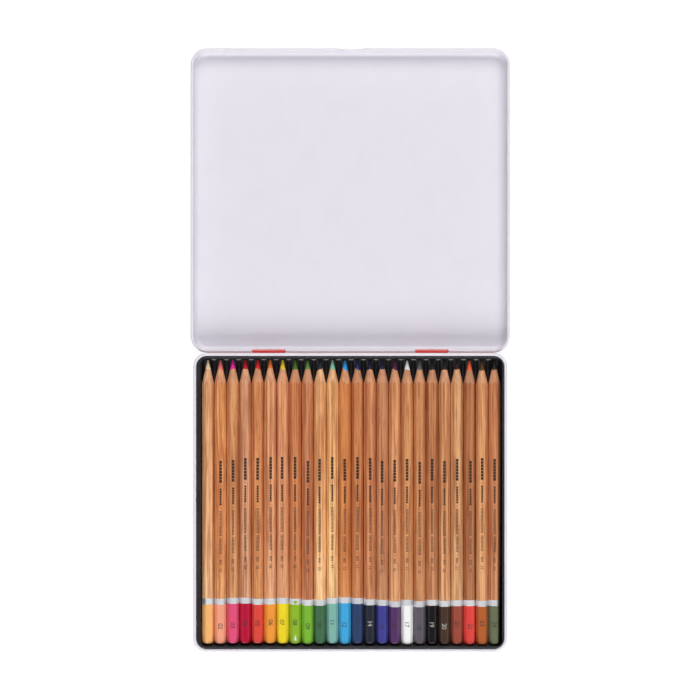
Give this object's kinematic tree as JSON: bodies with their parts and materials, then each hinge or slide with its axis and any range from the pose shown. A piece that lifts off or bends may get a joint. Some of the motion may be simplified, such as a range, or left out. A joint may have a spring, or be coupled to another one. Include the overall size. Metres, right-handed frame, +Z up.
{
  "type": "colored pencil tin",
  "caption": "Flat hinged metal tin, open, with a formed plastic tray holding a row of sharpened hexagonal colored pencils that lift out.",
  "frame": {"origin": "centre of the base's underside, the flat face that the tin rests on", "axes": "+X to the right along the hinge, +Y from the front edge over the hinge to the open lid, +Z up"},
  "size_m": [0.1978, 0.3736, 0.0119],
  "materials": {
    "inner_enamel": "satin off-white enamel inside the tin and round its rims",
    "outer_lacquer": "glossy coral-red lacquer on the outside and on the hinge knuckles",
    "hinge_steel": "bright drawn wire",
    "tray_plastic": "thin formed black plastic with a soft sheen",
    "cedar": "clear-varnished cedar",
    "foil_band": "matte silver foil band",
    "print_ink": "printed plain numbers and rules",
    "paint_01": "glossy dipped paint",
    "paint_02": "glossy dipped paint",
    "paint_03": "glossy dipped paint",
    "paint_04": "glossy dipped paint",
    "paint_05": "glossy dipped paint",
    "paint_06": "glossy dipped paint",
    "paint_07": "glossy dipped paint",
    "paint_08": "glossy dipped paint",
    "paint_09": "glossy dipped paint",
    "paint_10": "glossy dipped paint",
    "paint_11": "glossy dipped paint",
    "paint_12": "glossy dipped paint",
    "paint_13": "glossy dipped paint",
    "paint_14": "glossy dipped paint",
    "paint_15": "glossy dipped paint",
    "paint_16": "glossy dipped paint",
    "paint_17": "glossy dipped paint",
    "paint_18": "glossy dipped paint",
    "paint_19": "glossy dipped paint",
    "paint_20": "glossy dipped paint",
    "paint_21": "glossy dipped paint",
    "paint_22": "glossy dipped paint",
    "paint_23": "glossy dipped paint",
    "paint_24": "glossy dipped paint",
    "lead_01": "waxy colored lead, freshly sharpened",
    "lead_02": "waxy colored lead, freshly sharpened",
    "lead_03": "waxy colored lead, freshly sharpened",
    "lead_04": "waxy colored lead, freshly sharpened",
    "lead_05": "waxy colored lead, freshly sharpened",
    "lead_06": "waxy colored lead, freshly sharpened",
    "lead_07": "waxy colored lead, freshly sharpened",
    "lead_08": "waxy colored lead, freshly sharpened",
    "lead_09": "waxy colored lead, freshly sharpened",
    "lead_10": "waxy colored lead, freshly sharpened",
    "lead_11": "waxy colored lead, freshly sharpened",
    "lead_12": "waxy colored lead, freshly sharpened",
    "lead_13": "waxy colored lead, freshly sharpened",
    "lead_14": "waxy colored lead, freshly sharpened",
    "lead_15": "waxy colored lead, freshly sharpened",
    "lead_16": "waxy colored lead, freshly sharpened",
    "lead_17": "waxy colored lead, freshly sharpened",
    "lead_18": "waxy colored lead, freshly sharpened",
    "lead_19": "waxy colored lead, freshly sharpened",
    "lead_20": "waxy colored lead, freshly sharpened",
    "lead_21": "waxy colored lead, freshly sharpened",
    "lead_22": "waxy colored lead, freshly sharpened",
    "lead_23": "waxy colored lead, freshly sharpened",
    "lead_24": "waxy colored lead, freshly sharpened"
  },
  "bodies": {
    "base": {"base_shell": "inner_enamel"},
    "lid": {"lid_shell": "inner_enamel", "hinge_pin_left": "hinge_steel", "hinge_pin_right": "hinge_steel"},
    "tray": {"tray_insert": "tray_plastic"},
    "pencil_01": {"pencil_01_casing": "cedar", "pencil_01_lead": "lead_01"},
    "pencil_02": {"pencil_02_casing": "cedar", "pencil_02_lead": "lead_02"},
    "pencil_03": {"pencil_03_casing": "cedar", "pencil_03_lead": "lead_03"},
    "pencil_04": {"pencil_04_casing": "cedar", "pencil_04_lead": "lead_04"},
    "pencil_05": {"pencil_05_casing": "cedar", "pencil_05_lead": "lead_05"},
    "pencil_06": {"pencil_06_casing": "cedar", "pencil_06_lead": "lead_06"},
    "pencil_07": {"pencil_07_casing": "cedar", "pencil_07_lead": "lead_07"},
    "pencil_08": {"pencil_08_casing": "cedar", "pencil_08_lead": "lead_08"},
    "pencil_09": {"pencil_09_casing": "cedar", "pencil_09_lead": "lead_09"},
    "pencil_10": {"pencil_10_casing": "cedar", "pencil_10_lead": "lead_10"},
    "pencil_11": {"pencil_11_casing": "cedar", "pencil_11_lead": "lead_11"},
    "pencil_12": {"pencil_12_casing": "cedar", "pencil_12_lead": "lead_12"},
    "pencil_13": {"pencil_13_casing": "cedar", "pencil_13_lead": "lead_13"},
    "pencil_14": {"pencil_14_casing": "cedar", "pencil_14_lead": "lead_14"},
    "pencil_15": {"pencil_15_casing": "cedar", "pencil_15_lead": "lead_15"},
    "pencil_16": {"pencil_16_casing": "cedar", "pencil_16_lead": "lead_16"},
    "pencil_17": {"pencil_17_casing": "cedar", "pencil_17_lead": "lead_17"},
    "pencil_18": {"pencil_18_casing": "cedar", "pencil_18_lead": "lead_18"},
    "pencil_19": {"pencil_19_casing": "cedar", "pencil_19_lead": "lead_19"},
    "pencil_20": {"pencil_20_casing": "cedar", "pencil_20_lead": "lead_20"},
    "pencil_21": {"pencil_21_casing": "cedar", "pencil_21_lead": "lead_21"},
    "pencil_22": {"pencil_22_casing": "cedar", "pencil_22_lead": "lead_22"},
    "pencil_23": {"pencil_23_casing": "cedar", "pencil_23_lead": "lead_23"},
    "pencil_24": {"pencil_24_casing": "cedar", "pencil_24_lead": "lead_24"}
  },
  "joints": [
    {"name": "lid_hinge", "type": "hinge", "parent": "base", "child": "lid", "pos_m": [0, 0.09345, 0.007], "axis": [-1, 0, 0], "range_deg": [-180, 0]},
    {"name": "tray_lift", "type": "slide", "parent": "base", "child": "tray", "axis": [0, 0, 1], "range_m": [0, 0.02]},
    {"name": "pencil_01_lift", "type": "slide", "parent": "tray", "child": "pencil_01", "axis": [0, 0, 1], "range_m": [0, 0.025]},
    {"name": "pencil_02_lift", "type": "slide", "parent": "tray", "child": "pencil_02", "axis": [0, 0, 1], "range_m": [0, 0.025]},
    {"name": "pencil_03_lift", "type": "slide", "parent": "tray", "child": "pencil_03", "axis": [0, 0, 1], "range_m": [0, 0.025]},
    {"name": "pencil_04_lift", "type": "slide", "parent": "tray", "child": "pencil_04", "axis": [0, 0, 1], "range_m": [0, 0.025]},
    {"name": "pencil_05_lift", "type": "slide", "parent": "tray", "child": "pencil_05", "axis": [0, 0, 1], "range_m": [0, 0.025]},
    {"name": "pencil_06_lift", "type": "slide", "parent": "tray", "child": "pencil_06", "axis": [0, 0, 1], "range_m": [0, 0.025]},
    {"name": "pencil_07_lift", "type": "slide", "parent": "tray", "child": "pencil_07", "axis": [0, 0, 1], "range_m": [0, 0.025]},
    {"name": "pencil_08_lift", "type": "slide", "parent": "tray", "child": "pencil_08", "axis": [0, 0, 1], "range_m": [0, 0.025]},
    {"name": "pencil_09_lift", "type": "slide", "parent": "tray", "child": "pencil_09", "axis": [0, 0, 1], "range_m": [0, 0.025]},
    {"name": "pencil_10_lift", "type": "slide", "parent": "tray", "child": "pencil_10", "axis": [0, 0, 1], "range_m": [0, 0.025]},
    {"name": "pencil_11_lift", "type": "slide", "parent": "tray", "child": "pencil_11", "axis": [0, 0, 1], "range_m": [0, 0.025]},
    {"name": "pencil_12_lift", "type": "slide", "parent": "tray", "child": "pencil_12", "axis": [0, 0, 1], "range_m": [0, 0.025]},
    {"name": "pencil_13_lift", "type": "slide", "parent": "tray", "child": "pencil_13", "axis": [0, 0, 1], "range_m": [0, 0.025]},
    {"name": "pencil_14_lift", "type": "slide", "parent": "tray", "child": "pencil_14", "axis": [0, 0, 1], "range_m": [0, 0.025]},
    {"name": "pencil_15_lift", "type": "slide", "parent": "tray", "child": "pencil_15", "axis": [0, 0, 1], "range_m": [0, 0.025]},
    {"name": "pencil_16_lift", "type": "slide", "parent": "tray", "child": "pencil_16", "axis": [0, 0, 1], "range_m": [0, 0.025]},
    {"name": "pencil_17_lift", "type": "slide", "parent": "tray", "child": "pencil_17", "axis": [0, 0, 1], "range_m": [0, 0.025]},
    {"name": "pencil_18_lift", "type": "slide", "parent": "tray", "child": "pencil_18", "axis": [0, 0, 1], "range_m": [0, 0.025]},
    {"name": "pencil_19_lift", "type": "slide", "parent": "tray", "child": "pencil_19", "axis": [0, 0, 1], "range_m": [0, 0.025]},
    {"name": "pencil_20_lift", "type": "slide", "parent": "tray", "child": "pencil_20", "axis": [0, 0, 1], "range_m": [0, 0.025]},
    {"name": "pencil_21_lift", "type": "slide", "parent": "tray", "child": "pencil_21", "axis": [0, 0, 1], "range_m": [0, 0.025]},
    {"name": "pencil_22_lift", "type": "slide", "parent": "tray", "child": "pencil_22", "axis": [0, 0, 1], "range_m": [0, 0.025]},
    {"name": "pencil_23_lift", "type": "slide", "parent": "tray", "child": "pencil_23", "axis": [0, 0, 1], "range_m": [0, 0.025]},
    {"name": "pencil_24_lift", "type": "slide", "parent": "tray", "child": "pencil_24", "axis": [0, 0, 1], "range_m": [0, 0.025]}
  ]
}
